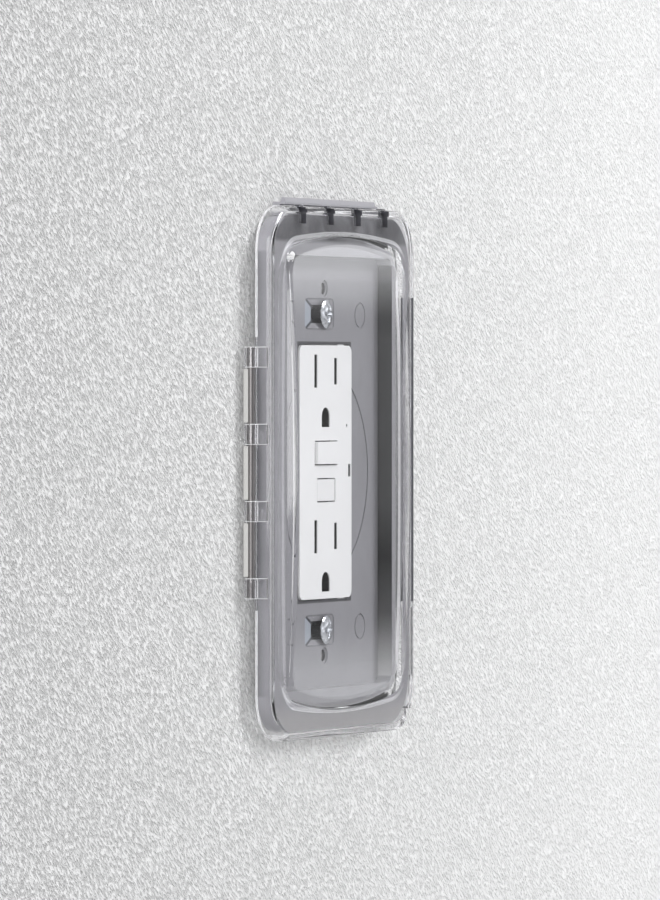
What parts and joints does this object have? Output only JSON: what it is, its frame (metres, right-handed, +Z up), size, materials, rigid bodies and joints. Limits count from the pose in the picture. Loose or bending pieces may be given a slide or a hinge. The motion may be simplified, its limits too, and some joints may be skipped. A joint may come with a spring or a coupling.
{
  "type": "gfci receptacle with weather cover",
  "caption": "Wall receptacle with ground-fault interrupter behind a clear low-profile hinged weather cover.",
  "frame": {"origin": "on the wall's surface, at the middle of the receptacle and of its two box screws", "axes": "+Z up along the receptacle's long side, +Y into the wall, the front faces -Y"},
  "size_m": [0.0956, 0.0424, 0.1414],
  "materials": {
    "smoky_clear": "clear smoky polycarbonate, polished",
    "cover_grey": "moulded grey, satin",
    "foam_black": "closed-cell foam, matt",
    "zinc_steel": "bright zinc plate",
    "hinge_pin": "moulded grey, satin",
    "face_white": "satin white",
    "lens_dark": "smoked light pipe",
    "strap_steel": "galvanised",
    "housing_nylon": "moulded nylon, matt",
    "inner_nylon": "moulded nylon, matt",
    "contact_brass": "rolled brass",
    "tinned_brass": "tinned",
    "silver_contact": "silver alloy",
    "brass_screw": "brass plate",
    "green_screw": "green dye over zinc",
    "board_green": "solder mask",
    "case_black": "moulded, matt",
    "core_grey": "nickel-iron core, epoxy coat",
    "copper_wire": "enamelled winding",
    "spring_steel": "spring wire",
    "disc_orange": "epoxy dip",
    "film_yellow": "moulded case",
    "resistor_blue": "lacquer",
    "led_clear": "clear epoxy"
  },
  "bodies": {
    "outlet": {"hinge_rod": "hinge_pin", "cover_base": "cover_grey", "wall_gasket": "foam_black", "mounting_screws": "zinc_steel", "face_cover": "face_white", "indicator_lens": "lens_dark", "mounting_strap": "strap_steel", "middle_housing": "case_black", "rear_housing": "housing_nylon", "housing_screws": "zinc_steel", "ground_contacts": "contact_brass", "ground_screw": "green_screw", "neutral_contacts": "tinned_brass", "hot_contacts": "contact_brass", "fixed_contacts": "silver_contact", "line_terminals": "contact_brass", "silver_screws": "zinc_steel", "brass_screws": "brass_screw", "clamp_plates": "zinc_steel", "circuit_board": "board_green", "sense_conductors": "contact_brass", "transformer_case": "case_black", "transformer_cores": "core_grey", "solenoid_bobbin": "inner_nylon", "solenoid_coil": "copper_wire", "plunger_spring": "spring_steel", "reset_spring": "spring_steel", "test_spring": "spring_steel", "test_blade": "contact_brass", "varistor": "disc_orange", "film_capacitor": "film_yellow", "electrolytic_capacitor": "case_black", "control_chip": "case_black", "resistors": "resistor_blue", "status_led": "led_clear"},
    "lid": {"lid": "smoky_clear"},
    "reset": {"reset_button": "face_white"},
    "test": {"test_button": "face_white"},
    "carrier": {"latch_block": "inner_nylon"},
    "latch": {"latch_plate": "strap_steel"},
    "plunger": {"solenoid_plunger": "strap_steel"},
    "arms": {"contact_arms": "contact_brass"}
  },
  "joints": [
    {"name": "lid_hinge", "type": "hinge", "parent": "outlet", "child": "lid", "pos_m": [-0.0474, -0.0026, 0.0003], "axis": [0, 0, -1], "range_deg": [0, 120]},
    {"name": "reset_press", "type": "slide", "parent": "outlet", "child": "reset", "axis": [0, 1, 0], "range_m": [0, 0.0016], "stiffness_N_per_m": 600, "springref_m": -0.002, "deforming": ["reset_spring"]},
    {"name": "test_press", "type": "slide", "parent": "outlet", "child": "test", "axis": [0, 1, 0], "range_m": [0, 0.0012], "stiffness_N_per_m": 600, "springref_m": -0.002, "deforming": ["test_spring", "test_blade"]},
    {"name": "carrier_drop", "type": "slide", "parent": "outlet", "child": "carrier", "axis": [0, 1, 0], "range_m": [0, 0.0015]},
    {"name": "arms_flex", "type": "hinge", "parent": "outlet", "child": "arms", "pos_m": [0, 0.01655, -0.02], "axis": [-1, 0, 0], "range_deg": [0, 3.45]},
    {"name": "plunger_stroke", "type": "slide", "parent": "outlet", "child": "plunger", "axis": [0, 0, -1], "range_m": [0, 0.0012], "stiffness_N_per_m": 100, "springref_m": -0.0015, "deforming": ["plunger_spring"]},
    {"name": "latch_slide", "type": "slide", "parent": "carrier", "child": "latch", "axis": [0, 0, -1], "range_m": [0, 0.0012]}
  ],
  "couplings": [
    {"joint": "arms_flex", "follows": "carrier_drop", "rad_per_m": 40},
    {"joint": "latch_slide", "follows": "plunger_stroke", "ratio": 1}
  ]
}
